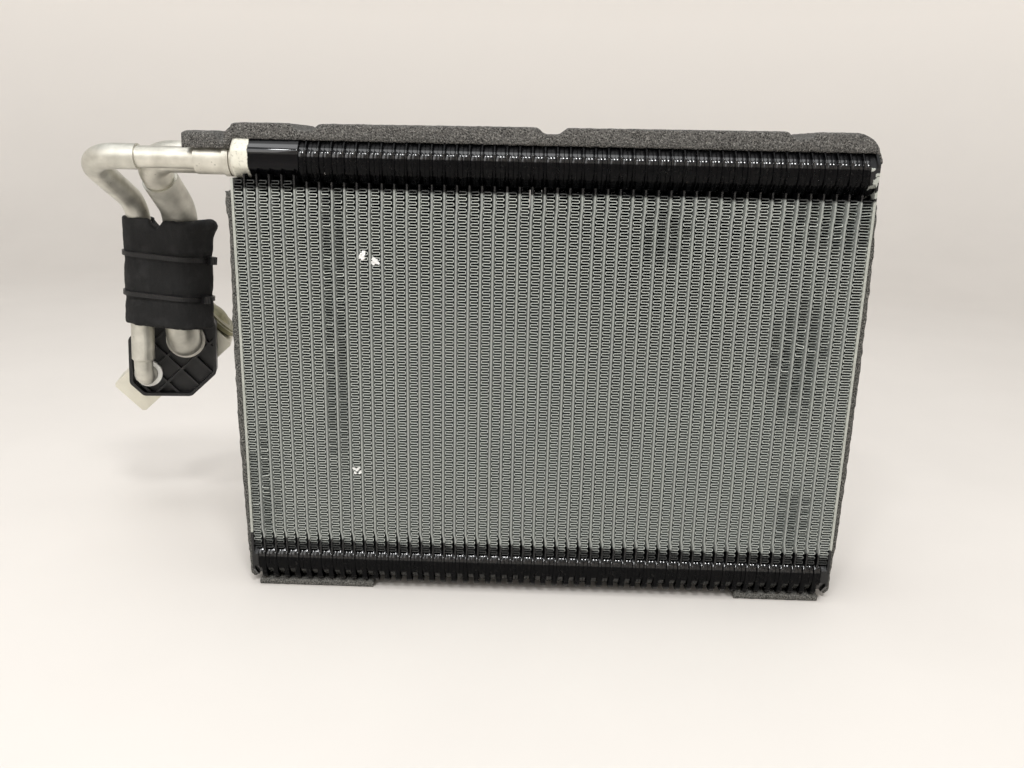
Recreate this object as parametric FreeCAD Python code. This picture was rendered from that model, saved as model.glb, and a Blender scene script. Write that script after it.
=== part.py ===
import FreeCAD, Part
import math
import os

from FreeCAD import Vector

# Evaporator core of a vehicle air conditioner with its two refrigerant pipes and block expansion valve.
# Millimetres. X runs along the core, Y through its depth with the air side seen first at -Y, Z is up.
# Shapes are laid out about the middle of the core, with Z from the faces that the two lower foam pads
# stand on. The finished parts are moved so that the origin is the middle of the left pad's lower face.

# Core
tube_count = 50
tube_pitch = 6.0
tube_thickness = 1.9
core_depth = 58.0
core_height = 230.0
tank_height = 22.0
cup_shoulder = 7.0
plate_lip = 1.0
fin_recess = 0.8
left_end_fin_width = 4.1
right_end_fin_width = 5.0
end_plate_thickness = 1.2
end_plate_corner = 6.0

# Header connector, which closes the upper tank over its first tubes
connector_tubes = 5
connector_height = 19.0
connector_shoulder = 5.5

# Pipe junction: one forging with an oval neck, a front liquid branch and a rear suction branch
neck_height = 15.6
neck_depth = 40.0
neck_length = 21.0
neck_drop = 10.4
ring_width = 2.9
ring_groove = 0.7
ring_proud = 0.9
liquid_branch_radius = 5.4
suction_branch_radius = 8.2
branch_spacing = 24.0
liquid_branch_length = 30.0
suction_branch_length = 37.0
suction_elbow_radius = 14.0
suction_elbow_reach = 18.5
socket_depth = 6.0
braze_gap = 0.05

# Pipes, each down a leg that leans a little outwards, then back into its port
liquid_pipe_radius = 6.35
liquid_end_radius = 5.2
suction_pipe_radius = 9.5
pipe_plane = 44.0
pipe_yaw = 15.0
legs_x = -224.3
valve_below_neck = 119.0
liquid_reach = 58.0
liquid_turn_radius = 16.0
liquid_shoulder_drop = 27.6
liquid_shoulder_radius = 22.0
suction_shoulder_drop = 30.6
suction_shoulder_radius = 20.0
leg_lean = 0.055
liquid_foot_radius = 11.0
suction_foot_radius = 15.0
swage_rise = 13.5
swage_length = 1.5
port_entry = 8.0
port_clearance = 0.1

# Expansion valve. Its own U runs from the liquid port to the suction port, V square to that.
valve_angle = 42.0
port_spacing = 31.0
valve_face = 72.0
valve_drop = 4.0
valve_thickness = 26.0
valve_half_width = 18.0
valve_foot_half_width = 12.2
valve_foot_length = 23.0
valve_head_length = 15.0
valve_waist_start = -6.0
valve_waist_end = 14.0
valve_edge = 1.5
suction_passage_radius = 8.0
liquid_passage_radius = 3.5
liquid_drill_radius = 3.2
head_bore_radius = 4.0
liquid_inlet_offset = 11.5
outer_suction_radius = 9.0
outer_liquid_radius = 6.0
outer_suction_depth = 8.0
outer_liquid_depth = 7.0
stud_hole_radius = 2.5
stud_hole_depth = 9.0
stud_hole_u = -5.0
rod_radius = 1.5
rod_clearance = 0.15
seat_radius = 2.0
seat_offset = 7.5
ball_radius = 3.0
chamber_radius = 4.6
plug_radius = 6.0
plug_length = 4.0
plug_recess = 2.5
plug_hex = 5.0
spring_radius = 3.4
spring_wire = 0.9
spring_turns = 2
head_radius = 16.0
head_stub_radius = 8.0
head_stub_length = 3.0
head_cone_height = 1.8
head_rim_height = 2.4
head_rim_width = 5.0
head_dome_height = 4.5
head_wall = 1.2
diaphragm_thickness = 0.4

# Clamp plate, its screw, and the ribbed plastic cover in front of them
clamp_thickness = 4.0
clamp_inset = 5.5
screw_radius = 3.0
screw_length = 12.0
screw_head_radius = 5.0
screw_head_height = 3.0
screw_socket_width = 4.0
screw_socket_depth = 2.0
screw_u = -2.2
cover_left = 26.5
cover_drop = 2.0
cover_right = 35.5
cover_half_width = 25.0
cover_left_flat = 5.5
cover_right_flat = 3.0
cover_left_chamfer = 19.5
cover_right_chamfer = 22.0
cover_floor = 1.8
cover_lip = 6.0
cover_skirt = 3.5
cover_wall = 1.8
cover_corner_radius = 4.0
cover_rib_thickness = 1.4
cover_rib_height = 3.2
cover_rib_pitch = 11.5
cover_head_gap = 0.4
pipe_gap = 0.3
collar_radius = 11.3
collar_height = 3.2
washer_radius = 8.0
washer_height = 2.4
washer_slot = 3.0
seal_section = 1.6
seal_groove = 1.8

# Foam wrap round both pipes, and its two cable ties
wrap_below_neck = 36.6
wrap_length = 60.0
wrap_liquid_skin = 2.2
wrap_suction_skin = 3.0
wrap_flap_reach = 14.8
wrap_flap_radius = 2.5
wrap_clearance = 0.9
wrap_notch_depth = 4.5
wrap_notch_width = 8.0
tie_width = 2.6
tie_thickness = 1.2
tie_tilt = 6.0
upper_tie_drop = 20.0
lower_tie_drop = 42.5
upper_tie_head_place = 0.9
lower_tie_head_place = 0.5
tie_head_length = 3.5
tie_head_size = 4.4
tie_gap = 0.05

# Foam seals
pad_thickness = 4.0
pad_depth = 54.0
left_pad_start = -151.0
left_pad_end = -88.5
right_pad_start = 105.5
right_pad_end = 151.0
side_foam_thickness = 4.0
side_foam_bulge = 2.0
side_foam_front = 23.0
side_foam_back = 25.0
left_foam_drop = 24.7
left_foam_step = 12.0
left_foam_step_width = 1.8
right_foam_drop = 24.0
side_foam_lift = 1.5
side_foam_corner = 7.0
top_foam_height = 6.8
top_foam_rise = 1.8
top_foam_depth = 50.0
top_foam_start = -158.2
top_foam_slope = 9.4
top_foam_end = 157.2
top_foam_corner = 13.0
top_foam_hang = 5.0
top_foam_dips = (-118.0, 0.0, 118.0)
dip_depth = 3.0
dip_width = 17.0
dip_floor = 4.5
tab_end = -178.6
tab_top_drop = 3.8
tab_slope = 5.0
tab_depth = 44.0
tab_clearance = 0.2
flap_length = 9.0
flap_thickness = 3.0
flap_hang = 3.5

core_bottom = pad_thickness
core_top = core_bottom + core_height
core_front = -core_depth / 2
core_back = core_depth / 2
lower_tank_top = core_bottom + tank_height
upper_tank_bottom = core_top - tank_height
first_tube_x = -(tube_count - 1) * tube_pitch / 2
stack_half_length = tube_count * tube_pitch / 2
end_plate_x = {
    -1: -first_tube_x + tube_thickness / 2 + left_end_fin_width,
    1: -first_tube_x + tube_thickness / 2 + right_end_fin_width,
}
end_plate_outside = {side: x + end_plate_thickness for side, x in end_plate_x.items()}
connector_left = -end_plate_outside[-1]
connector_right = first_tube_x + (connector_tubes - 0.5) * tube_pitch
connector_bottom = core_top - connector_height
neck_z = core_top - neck_drop
neck_left = connector_left - neck_length
legs_z = neck_z - valve_below_neck
liquid_shoulder_z = neck_z - liquid_shoulder_drop
suction_shoulder_z = neck_z - suction_shoulder_drop
wrap_top = neck_z - wrap_below_neck
left_foam_top = core_top - left_foam_drop
right_foam_top = core_top - right_foam_drop
origin_x = (left_pad_start + left_pad_end) / 2
liquid_branch_y = -branch_spacing / 2
suction_branch_y = branch_spacing / 2
valve_cos = math.cos(math.radians(valve_angle))
valve_sin = math.sin(math.radians(valve_angle))
liquid_foot_x = legs_x - port_spacing / 2 * valve_cos
liquid_foot_z = legs_z - port_spacing / 2 * valve_sin
suction_foot_x = legs_x + port_spacing / 2 * valve_cos
suction_foot_z = legs_z + port_spacing / 2 * valve_sin
liquid_leg_x = liquid_foot_x + leg_lean * (liquid_shoulder_z - liquid_foot_z)
suction_leg_x = suction_foot_x + leg_lean * (suction_shoulder_z - suction_foot_z)
valve_back = valve_face + valve_thickness
valve_middle = valve_face + valve_thickness / 2
liquid_u = -port_spacing / 2
suction_u = port_spacing / 2
liquid_inlet_u = liquid_u - liquid_inlet_offset
valve_foot_u = liquid_u - valve_foot_length
valve_head_u = suction_u + valve_head_length
head_rim_u = valve_head_u + head_cone_height + head_rim_height
ball_u = liquid_u - seat_offset - math.sqrt(ball_radius ** 2 - seat_radius ** 2)
plug_u = valve_foot_u + plug_length
seal_back = valve_face + seal_section
clamp_front = valve_face - clamp_thickness
cover_floor_back = clamp_front - screw_head_height - cover_head_gap
cover_floor_front = cover_floor_back - cover_floor
leg_direction = Vector(-leg_lean, 0, -1)


def tube_x(index):
    return first_tube_x + index * tube_pitch


def box(x0, x1, y0, y1, z0, z1):
    return Part.makeBox(x1 - x0, y1 - y0, z1 - z0, Vector(x0, y0, z0))


def rod(radius, start, end):
    along = end.sub(start)
    return Part.makeCylinder(radius, along.Length, start, along)


def prism(points, travel):
    """Straight extrusion of a closed flat outline."""
    return Part.Face(Part.makePolygon(points + [points[0]])).extrude(travel)


def prism_along_x(outline, x0, x1):
    """Outline of (y, z) pairs, extruded from x0 to x1."""
    return prism([Vector(x0, y, z) for y, z in outline], Vector(x1 - x0, 0, 0))


def prism_along_y(outline, y0, y1):
    """Outline of (x, z) pairs, extruded from y0 to y1."""
    return prism([Vector(x, y0, z) for x, z in outline], Vector(0, y1 - y0, 0))


def fused(first, *others):
    return first.fuse(list(others)).removeSplitter()


def tank_section(z0, z1, shoulder):
    """Section of a tank in (y, z), over the core's full depth, with all four corners sloped off."""
    return [
        (core_front, z0 + shoulder),
        (core_front + shoulder, z0),
        (core_back - shoulder, z0),
        (core_back, z0 + shoulder),
        (core_back, z1 - shoulder),
        (core_back - shoulder, z1),
        (core_front + shoulder, z1),
        (core_front, z1 - shoulder),
    ]


def route_wire(points, radii):
    """Straight runs through the points, joined by tangent arcs of the given radii."""
    edges = []
    start = points[0]
    for corner, radius, previous, following in zip(points[1:-1], radii, points[:-2], points[2:]):
        back = previous.sub(corner).normalize()
        ahead = following.sub(corner).normalize()
        half = back.getAngle(ahead) / 2
        reach = radius / math.tan(half)
        arc_start = corner.add(Vector(back).multiply(reach))
        arc_end = corner.add(Vector(ahead).multiply(reach))
        inward = back.add(ahead).normalize()
        middle = corner.add(inward.multiply(radius / math.sin(half) - radius))
        edges.append(Part.LineSegment(start, arc_start).toShape())
        edges.append(Part.Arc(arc_start, middle, arc_end).toShape())
        start = arc_end
    edges.append(Part.LineSegment(start, points[-1]).toShape())
    return Part.Wire(edges)


def swept_round(points, radii, radius):
    """Round bar that follows a route."""
    circle = Part.Circle(points[0], points[1].sub(points[0]), radius).toShape()
    return route_wire(points, radii).makePipeShell([Part.Wire(circle)], True, False)


def tube_element(index):
    """One brazed pair of drawn plates: a flat tube, with cups that meet those of its neighbours."""
    x = tube_x(index)
    half = tube_thickness / 2
    reach = tube_pitch / 2
    under_connector = index < connector_tubes
    top = connector_bottom if under_connector else core_top
    spans = [(core_bottom + plate_lip, lower_tank_top)]
    if not under_connector:
        spans.append((upper_tank_bottom, core_top - plate_lip))
    cups = [prism_along_x(tank_section(z0, z1, cup_shoulder), x - reach, x + reach) for z0, z1 in spans]
    return fused(box(x - half, x + half, core_front, core_back, core_bottom, top), *cups)


def fin_packs():
    """Folded fin strips between the tubes, set back a little from the tubes' edges."""
    half = tube_thickness / 2
    packs = []
    for index in range(tube_count + 1):
        left = -end_plate_x[-1] if index == 0 else tube_x(index - 1) + half
        right = end_plate_x[1] if index == tube_count else tube_x(index) - half
        top = connector_bottom if index < connector_tubes else upper_tank_bottom
        packs.append(
            box(left, right, core_front + fin_recess, core_back - fin_recess, lower_tank_top, top)
        )
    return packs


def end_plate(side, whole):
    """Side plate with the drawn cups that close the tanks at that end."""
    inner = side * end_plate_x[side]
    outer = side * end_plate_outside[side]
    top = core_top if whole else connector_bottom
    spans = [(core_bottom + plate_lip, lower_tank_top)]
    if whole:
        spans.append((upper_tank_bottom, core_top - plate_lip))
    upper_corner = end_plate_corner if whole else 0
    outline = [
        (core_front, core_bottom + end_plate_corner),
        (core_front + end_plate_corner, core_bottom),
        (core_back - end_plate_corner, core_bottom),
        (core_back, core_bottom + end_plate_corner),
        (core_back, top - upper_corner),
    ]
    if whole:
        outline += [(core_back - upper_corner, top), (core_front + upper_corner, top)]
        outline.append((core_front, top - upper_corner))
    else:
        outline.append((core_front, top))
    plate = prism_along_x(outline, inner, outer)
    stack_end = side * stack_half_length
    cups = [prism_along_x(tank_section(z0, z1, cup_shoulder), stack_end, inner) for z0, z1 in spans]
    return fused(plate, *cups)


def header_connector():
    """Smooth end of the upper tank, in one piece, that takes the junction's neck on its left."""
    section = tank_section(connector_bottom, core_top, connector_shoulder)
    return prism_along_x(section, connector_left, connector_right)


def oval(depth, height, x0, x1):
    """Racetrack section of the neck, extruded along X."""
    radius = height / 2
    half = depth / 2 - radius
    flat = box(x0, x1, -half, half, neck_z - radius, neck_z + radius)
    ends = [rod(radius, Vector(x0, y, neck_z), Vector(x1, y, neck_z)) for y in (-half, half)]
    return fused(flat, *ends)


def yawed(shape):
    """Turns a shape about the upright line midway between the legs' feet."""
    placed = shape.copy()
    placed.rotate(Vector(legs_x, pipe_plane, 0), Vector(0, 0, 1), pipe_yaw)
    return placed


def yawed_point(x, y, z):
    return yawed(Part.Vertex(x, y, z)).Point


def suction_elbow_points():
    """Line of the rear branch: left out of the neck, then back and down in line with its pipe."""
    start = Vector(neck_left + socket_depth, suction_branch_y, neck_z)
    corner = Vector(neck_left - suction_branch_length, suction_branch_y, neck_z)
    shoulder = yawed_point(suction_leg_x, pipe_plane, suction_shoulder_z)
    return start, corner, shoulder.sub(corner).normalize()


def pipe_junction():
    neck = oval(neck_depth, neck_height, neck_left, connector_left)
    rings = []
    for index in range(2):
        right = connector_left - index * (ring_width + ring_groove)
        rings.append(
            oval(neck_depth + 2 * ring_proud, neck_height + 2 * ring_proud, right - ring_width, right)
        )
    liquid_start = Vector(connector_left, liquid_branch_y, neck_z)
    liquid_end = Vector(neck_left - liquid_branch_length - socket_depth, liquid_branch_y, neck_z)
    start, corner, toward = suction_elbow_points()
    end = corner.add(Vector(toward).multiply(suction_elbow_reach + socket_depth))
    elbow = [start, corner, end]
    branches = [
        rod(liquid_branch_radius, liquid_start, liquid_end),
        swept_round(elbow, [suction_elbow_radius], suction_branch_radius),
    ]
    return fused(neck, *rings, *branches)


def leg_point(foot_x, foot_z, z):
    """Point at height z on the centre line of a leg, before the legs are yawed."""
    return Vector(foot_x + leg_lean * (z - foot_z), pipe_plane, z)


def liquid_route():
    """Wide run down to the swage, then the narrow run round the foot into the valve."""
    swage_top = yawed_point(*leg_point(liquid_foot_x, liquid_foot_z, liquid_foot_z + swage_rise))
    wide = [
        Vector(neck_left - liquid_branch_length, liquid_branch_y, neck_z),
        Vector(neck_left - liquid_reach, liquid_branch_y, neck_z),
        yawed_point(liquid_leg_x, pipe_plane, liquid_shoulder_z),
        swage_top,
    ]
    narrow = [
        swage_top,
        yawed_point(liquid_foot_x, pipe_plane, liquid_foot_z),
        yawed_point(liquid_foot_x, valve_face + port_entry, liquid_foot_z),
    ]
    return wide, narrow


def socket(route, radius):
    """Hollow at the start of a pipe, where it slides over a branch of the junction."""
    along = route[1].sub(route[0]).normalize()
    return rod(radius, route[0], route[0].add(along.multiply(socket_depth + braze_gap)))


def liquid_pipe():
    """Slides over the front branch; its last stretch is swaged down to fit the valve's port."""
    wide, narrow = liquid_route()
    down = narrow[1].sub(narrow[0])
    body = fused(
        swept_round(wide, [liquid_turn_radius, liquid_shoulder_radius], liquid_pipe_radius),
        Part.makeCone(liquid_pipe_radius, liquid_end_radius, swage_length, narrow[0], down),
        swept_round(narrow, [liquid_foot_radius], liquid_end_radius),
    )
    return body.cut(socket(wide, liquid_branch_radius + braze_gap))


def suction_pipe():
    """Slides over the elbow of the rear branch and runs down to the valve's larger port."""
    corner, toward = suction_elbow_points()[1:]
    route = [
        corner.add(Vector(toward).multiply(suction_elbow_reach)),
        yawed_point(suction_leg_x, pipe_plane, suction_shoulder_z),
        yawed_point(suction_foot_x, pipe_plane, suction_foot_z),
        yawed_point(suction_foot_x, valve_face + port_entry, suction_foot_z),
    ]
    body = swept_round(route, [suction_shoulder_radius, suction_foot_radius], suction_pipe_radius)
    return body.cut(socket(route, suction_branch_radius + braze_gap))


def on_valve(shape):
    """Turns a shape modelled with U along X and V along Z to the valve's angle and place."""
    placed = shape.copy()
    placed.rotate(Vector(0, 0, 0), Vector(0, 1, 0), -valve_angle)
    placed.translate(Vector(legs_x, 0, legs_z))
    return yawed(placed)


def port_rod(radius, u, y0, y1, v=0.0):
    """Round bar or hole along Y at a place given in U and V."""
    return rod(radius, Vector(u, y0, v), Vector(u, y1, v))


def stem_rod(radius, u0, u1):
    """Round bar or hole along U, on the line of the valve's stem."""
    return rod(radius, Vector(u0, valve_middle, -valve_drop), Vector(u1, valve_middle, -valve_drop))


def stem_turned(profile):
    """Solid turned about the line of the stem, from an outline of (u, radius) pairs."""
    points = [Vector(u, valve_middle, radius - valve_drop) for u, radius in profile]
    face = Part.Face(Part.makePolygon(points + [points[0]]))
    return face.revolve(Vector(0, valve_middle, -valve_drop), Vector(1, 0, 0), 360)


def valve_body():
    """Block with the suction passage straight through and the metering passage below it."""
    e = valve_edge
    narrow = valve_foot_half_width
    wide = valve_half_width
    half = [
        (valve_foot_u, narrow - e),
        (valve_foot_u + e, narrow),
        (valve_waist_start, narrow),
        (valve_waist_end, wide),
        (valve_head_u - e, wide),
        (valve_head_u, wide - e),
    ]
    outline = [(u, v - valve_drop) for u, v in half] + [(u, -v - valve_drop) for u, v in reversed(half)]
    body = prism_along_y(outline, valve_face, valve_back)
    inside_port = valve_face + port_entry + port_clearance
    liquid_port_floor = valve_back - outer_liquid_depth
    drill_start = Vector(liquid_u, inside_port - liquid_drill_radius / 2, 0)
    drill_end = Vector(liquid_u, valve_middle + seat_radius, -valve_drop)
    holes = [
        port_rod(suction_pipe_radius + port_clearance, suction_u, valve_face, inside_port),
        port_rod(suction_passage_radius, suction_u, inside_port, valve_back - outer_suction_depth),
        port_rod(outer_suction_radius, suction_u, valve_back - outer_suction_depth, valve_back),
        port_rod(liquid_end_radius + port_clearance, liquid_u, valve_face, inside_port),
        rod(liquid_drill_radius, drill_start, drill_end),
        port_rod(outer_liquid_radius, liquid_inlet_u, liquid_port_floor, valve_back, -valve_drop),
        port_rod(liquid_passage_radius, liquid_inlet_u, valve_middle, liquid_port_floor, -valve_drop),
        port_rod(stud_hole_radius, stud_hole_u, valve_back - stud_hole_depth, valve_back, -valve_drop),
        port_rod(liquid_end_radius + seal_groove, liquid_u, valve_face, seal_back),
        port_rod(suction_pipe_radius + seal_groove, suction_u, valve_face, seal_back),
        port_rod(screw_radius, screw_u, valve_face, clamp_front + screw_length),
        stem_rod(plug_radius, valve_foot_u, plug_u),
        stem_rod(chamber_radius, plug_u, liquid_u - seat_offset),
        stem_rod(seat_radius, liquid_u - seat_offset, liquid_u),
        stem_rod(rod_radius + rod_clearance, liquid_u, suction_u),
        stem_rod(head_stub_radius, valve_head_u - head_stub_length, valve_head_u),
        stem_rod(head_bore_radius, suction_u, valve_head_u),
    ]
    return on_valve(body.cut(holes))


def power_head_cup():
    """Lower half of the thermal head, with the stub that is held in the block."""
    w = head_wall
    shoulder_u = valve_head_u
    cone_end = valve_head_u + head_cone_height
    r = head_radius
    profile = [
        (shoulder_u - head_stub_length, head_stub_radius - w),
        (shoulder_u - head_stub_length, head_stub_radius),
        (shoulder_u, head_stub_radius),
        (shoulder_u, head_stub_radius + head_rim_width),
        (cone_end, r),
        (head_rim_u, r),
        (head_rim_u, r - head_rim_width),
        (cone_end + w, r - head_rim_width),
        (shoulder_u + w, head_stub_radius + w),
        (shoulder_u + w, head_stub_radius - w),
    ]
    return on_valve(stem_turned(profile))


def diaphragm():
    return on_valve(stem_rod(head_radius, head_rim_u, head_rim_u + diaphragm_thickness))


def power_head_dome():
    """Upper half of the thermal head: a crimped flange and a drawn cap."""
    w = head_wall
    base = head_rim_u + diaphragm_thickness
    cap_radius = head_radius - head_rim_width
    flange = stem_turned([
        (base, cap_radius - w),
        (base, head_radius),
        (base + w, head_radius),
        (base + w, cap_radius - w),
    ])
    ball = (cap_radius ** 2 + head_dome_height ** 2) / (2 * head_dome_height)
    centre = Vector(base + head_dome_height - ball, valve_middle, -valve_drop)
    outer = Part.makeSphere(ball, centre)
    inner = Part.makeSphere(ball - w, centre)
    slice_u = stem_rod(cap_radius, base, base + 2 * head_dome_height)
    cap = outer.cut(inner).common(slice_u)
    return on_valve(fused(flange, cap))


def sensing_rod():
    """Carries the head's movement across the suction passage to the metering ball."""
    return on_valve(stem_rod(rod_radius, ball_u + ball_radius + braze_gap, head_rim_u - braze_gap))


def metering_ball():
    return on_valve(Part.makeSphere(ball_radius, Vector(ball_u, valve_middle, -valve_drop)))


def valve_spring():
    """Open coil between the adjusting plug and the ball."""
    length = ball_u - ball_radius - plug_u - spring_wire - braze_gap
    helix = Part.makeHelix(length / spring_turns, length, spring_radius)
    w = spring_wire / 2
    corners = [(-w, -w), (w, -w), (w, w), (-w, w)]
    section = [Vector(spring_radius + x, 0, z) for x, z in corners]
    wire = Part.makePolygon(section + [section[0]])
    coil = Part.Wire(helix).makePipeShell([wire], True, True)
    coil.rotate(Vector(0, 0, 0), Vector(0, 1, 0), 90)
    coil.translate(Vector(plug_u + spring_wire, valve_middle, -valve_drop))
    return on_valve(coil)


def adjusting_plug():
    """Closes the foot of the block and sets the spring."""
    body = stem_rod(plug_radius, valve_foot_u, plug_u)
    radius = plug_hex / math.sqrt(3)
    corners = [math.radians(60 * side) for side in range(7)]
    socket = Part.Face(Part.makePolygon([
        Vector(valve_foot_u, valve_middle + radius * math.cos(a), radius * math.sin(a) - valve_drop)
        for a in corners
    ])).extrude(Vector(plug_recess, 0, 0))
    return on_valve(body.cut(socket))


def clamp_screw():
    shank = port_rod(screw_radius, screw_u, clamp_front, clamp_front + screw_length)
    head_front = clamp_front - screw_head_height
    head = port_rod(screw_head_radius, screw_u, head_front, clamp_front)
    radius = screw_socket_width / math.sqrt(3)
    angles = [math.radians(60 * side) for side in range(6)]
    outline = [(screw_u + radius * math.cos(a), radius * math.sin(a)) for a in angles]
    socket = prism_along_y(outline, head_front, head_front + screw_socket_depth)
    return on_valve(fused(shank, head).cut(socket))


def cover_outline(inset):
    """Long octagon of the cover's wall with rounded corners, brought in on every side by an inset."""
    left = -cover_left
    right = cover_right
    half = cover_half_width
    points = [
        (left, -cover_left_flat),
        (left + cover_left_chamfer, -half),
        (right - cover_right_chamfer, -half),
        (right, -cover_right_flat),
        (right, cover_right_flat),
        (right - cover_right_chamfer, half),
        (left + cover_left_chamfer, half),
        (left, cover_left_flat),
    ]
    wire = Part.makePolygon([Vector(u, 0, v - cover_drop) for u, v in points + [points[0]]])
    sharp = wire.makeOffset2D(-inset - cover_corner_radius, 2)
    return Part.Face(sharp.makeOffset2D(cover_corner_radius, 0))


def cover_block(inset, y0, y1):
    face = cover_outline(inset)
    face.translate(Vector(0, y0, 0))
    return face.extrude(Vector(0, y1 - y0, 0))


def clamp_plate():
    """Holds both pipe ends in the block."""
    plate = cover_block(clamp_inset, clamp_front, valve_face)
    holes = [
        port_rod(liquid_end_radius + port_clearance, liquid_u, clamp_front, valve_face),
        port_rod(suction_pipe_radius + port_clearance, suction_u, clamp_front, valve_face),
        port_rod(screw_radius, screw_u, clamp_front, valve_face),
    ]
    return on_valve(plate.cut(holes))


def valve_cover():
    """Black moulded cover: a wall round a floor that is stiffened by crossing ribs."""
    front = cover_floor_front - cover_lip
    back = cover_floor_back + cover_skirt
    wall = cover_block(0, front, back).cut(cover_block(cover_wall, front, back))
    floor = cover_block(0, cover_floor_front, cover_floor_back)
    rib_front = cover_floor_front - cover_rib_height
    half = cover_rib_thickness / 2
    reach = cover_left + cover_right
    bars = []
    for step in (-1, 0, 1):
        v = step * cover_rib_pitch
        bars.append(box(-reach, reach, rib_front, cover_floor_front, v - half, v + half))
    for step in range(-2, 4):
        u = step * cover_rib_pitch
        bars.append(box(u - half, u + half, rib_front, cover_floor_front, -reach, reach))
    ribs = fused(*bars).common(cover_block(0, rib_front, cover_floor_front))
    body = fused(wall, floor, ribs)
    seats = [
        port_rod(washer_radius + pipe_gap, liquid_u, front, cover_floor_front),
        port_rod(collar_radius + pipe_gap, suction_u, front, cover_floor_front),
        port_rod(liquid_end_radius + pipe_gap, liquid_u, front, back),
        port_rod(suction_pipe_radius + pipe_gap, suction_u, front, back),
    ]
    return on_valve(body.cut(seats))


def suction_collar():
    """Ring on the suction pipe where it enters the cover."""
    front = cover_floor_front - collar_height
    ring = port_rod(collar_radius, suction_u, front, cover_floor_front)
    return on_valve(ring.cut(port_rod(suction_pipe_radius + braze_gap, suction_u, front, cover_floor_front)))


def port_washer():
    """Split plastic ring round the liquid pipe."""
    front = cover_floor_front - washer_height
    ring = port_rod(washer_radius, liquid_u, front, cover_floor_front)
    hole = port_rod(liquid_end_radius + pipe_gap, liquid_u, front, cover_floor_front)
    half = washer_slot / 2
    slot = box(liquid_u - 2 * washer_radius, liquid_u, front, cover_floor_front, -half, half)
    return on_valve(ring.cut([hole, slot]))


def belt_wire(centres, radii, y, z):
    """Closed outline of a belt round circles that stand in line along X."""
    upper = []
    for x0, x1, r0, r1 in zip(centres[:-1], centres[1:], radii[:-1], radii[1:]):
        lean = (r0 - r1) / (x1 - x0)
        rise = math.sqrt(1 - lean ** 2)
        upper.append((x0 + r0 * lean, r0 * rise))
        upper.append((x1 + r1 * lean, r1 * rise))
    sides = []
    for sign in (1, -1):
        points = [Vector(x, y + sign * h, z) for x, h in upper]
        sides.append([Part.LineSegment(points[0], points[1]), Part.LineSegment(points[2], points[3])])
        crown = Vector(centres[1], y + sign * radii[1], z)
        sides[-1].insert(1, Part.Arc(points[1], crown, points[2]))
        sides[-1].append((points[0], points[3]))
    (start_up, end_up), (start_low, end_low) = sides[0].pop(), sides[1].pop()
    left = Part.Arc(start_low, Vector(centres[0] - radii[0], y, z), start_up)
    right = Part.Arc(end_up, Vector(centres[-1] + radii[-1], y, z), end_low)
    return Part.Wire([g.toShape() for g in [left] + sides[0] + [right] + sides[1][::-1]])


def wrap_belt(extra, top, length):
    """Belt round both legs and the pinched edge of the wrap, swept down along the legs."""
    liquid = leg_point(liquid_foot_x, liquid_foot_z, top)
    suction = leg_point(suction_foot_x, suction_foot_z, top)
    centres = [liquid.x, suction.x, suction.x + wrap_flap_reach]
    radii = [
        liquid_pipe_radius + wrap_liquid_skin + extra,
        suction_pipe_radius + wrap_suction_skin + extra,
        wrap_flap_radius + extra,
    ]
    return Part.Face(belt_wire(centres, radii, pipe_plane, top)).extrude(leg_direction * length)


def tilted_slab(height, thickness, reach):
    """Slab across both legs, square to the lean that the wrap and its ties have."""
    slab = box(-reach, reach, -reach, reach, -thickness / 2, thickness / 2)
    slab.rotate(Vector(0, 0, 0), Vector(0, 1, 0), tie_tilt)
    slab.translate(leg_point(suction_foot_x, suction_foot_z, height))
    return slab


def pipe_wrap():
    """Foam wrapped round both pipes and pinched together along its right edge."""
    spare = suction_pipe_radius
    tall = wrap_top + spare
    long = wrap_length + 2 * spare
    slab = tilted_slab(wrap_top - wrap_length / 2, wrap_length, wrap_length)
    body = wrap_belt(0, tall, long).common(slab)
    liquid = leg_point(liquid_foot_x, liquid_foot_z, tall)
    suction = leg_point(suction_foot_x, suction_foot_z, tall)
    down = leg_direction * long
    holes = [
        rod(liquid_pipe_radius + wrap_clearance, liquid, liquid.add(down)),
        rod(suction_pipe_radius + wrap_clearance, suction, suction.add(down)),
    ]
    middle = (liquid.x + liquid_pipe_radius + suction.x - suction_pipe_radius) / 2
    half = wrap_notch_width / 2
    low = wrap_top - wrap_notch_depth
    reach = suction_pipe_radius + 2 * wrap_suction_skin
    notch = prism_along_y(
        [(middle - half, wrap_top), (middle, low), (middle + half, wrap_top), (middle, tall)],
        pipe_plane - reach,
        pipe_plane + reach,
    )
    return yawed(body.cut(holes + [notch]))


def cable_tie(height, head_place):
    """Band pulled tight round the wrap; its head is that far along the slope of the pinched edge."""
    spare = suction_pipe_radius
    tall = (height + spare, 2 * spare)
    band = wrap_belt(tie_gap + tie_thickness, *tall).cut(wrap_belt(tie_gap, *tall))
    band = band.common(tilted_slab(height, tie_width, wrap_length))
    wide = suction_pipe_radius + wrap_suction_skin
    lean = (wide - wrap_flap_radius) / wrap_flap_reach
    rise = math.sqrt(1 - lean ** 2)
    outward = Vector(lean, -rise, 0)
    base = outward * (wide + head_place * (wrap_flap_radius - wide))
    base = base + Vector(head_place * wrap_flap_reach, 0, 0)
    half = tie_head_size / 2
    head = box(-half, half, -tie_head_length, 0, -half, half)
    head.rotate(Vector(0, 0, 0), Vector(0, 0, 1), math.degrees(math.asin(lean)))
    head.translate(base + outward * (tie_gap + tie_thickness / 2))
    head.rotate(Vector(0, 0, 0), Vector(0, 1, 0), tie_tilt)
    head.translate(leg_point(suction_foot_x, suction_foot_z, height))
    return yawed(fused(band, head))


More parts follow.
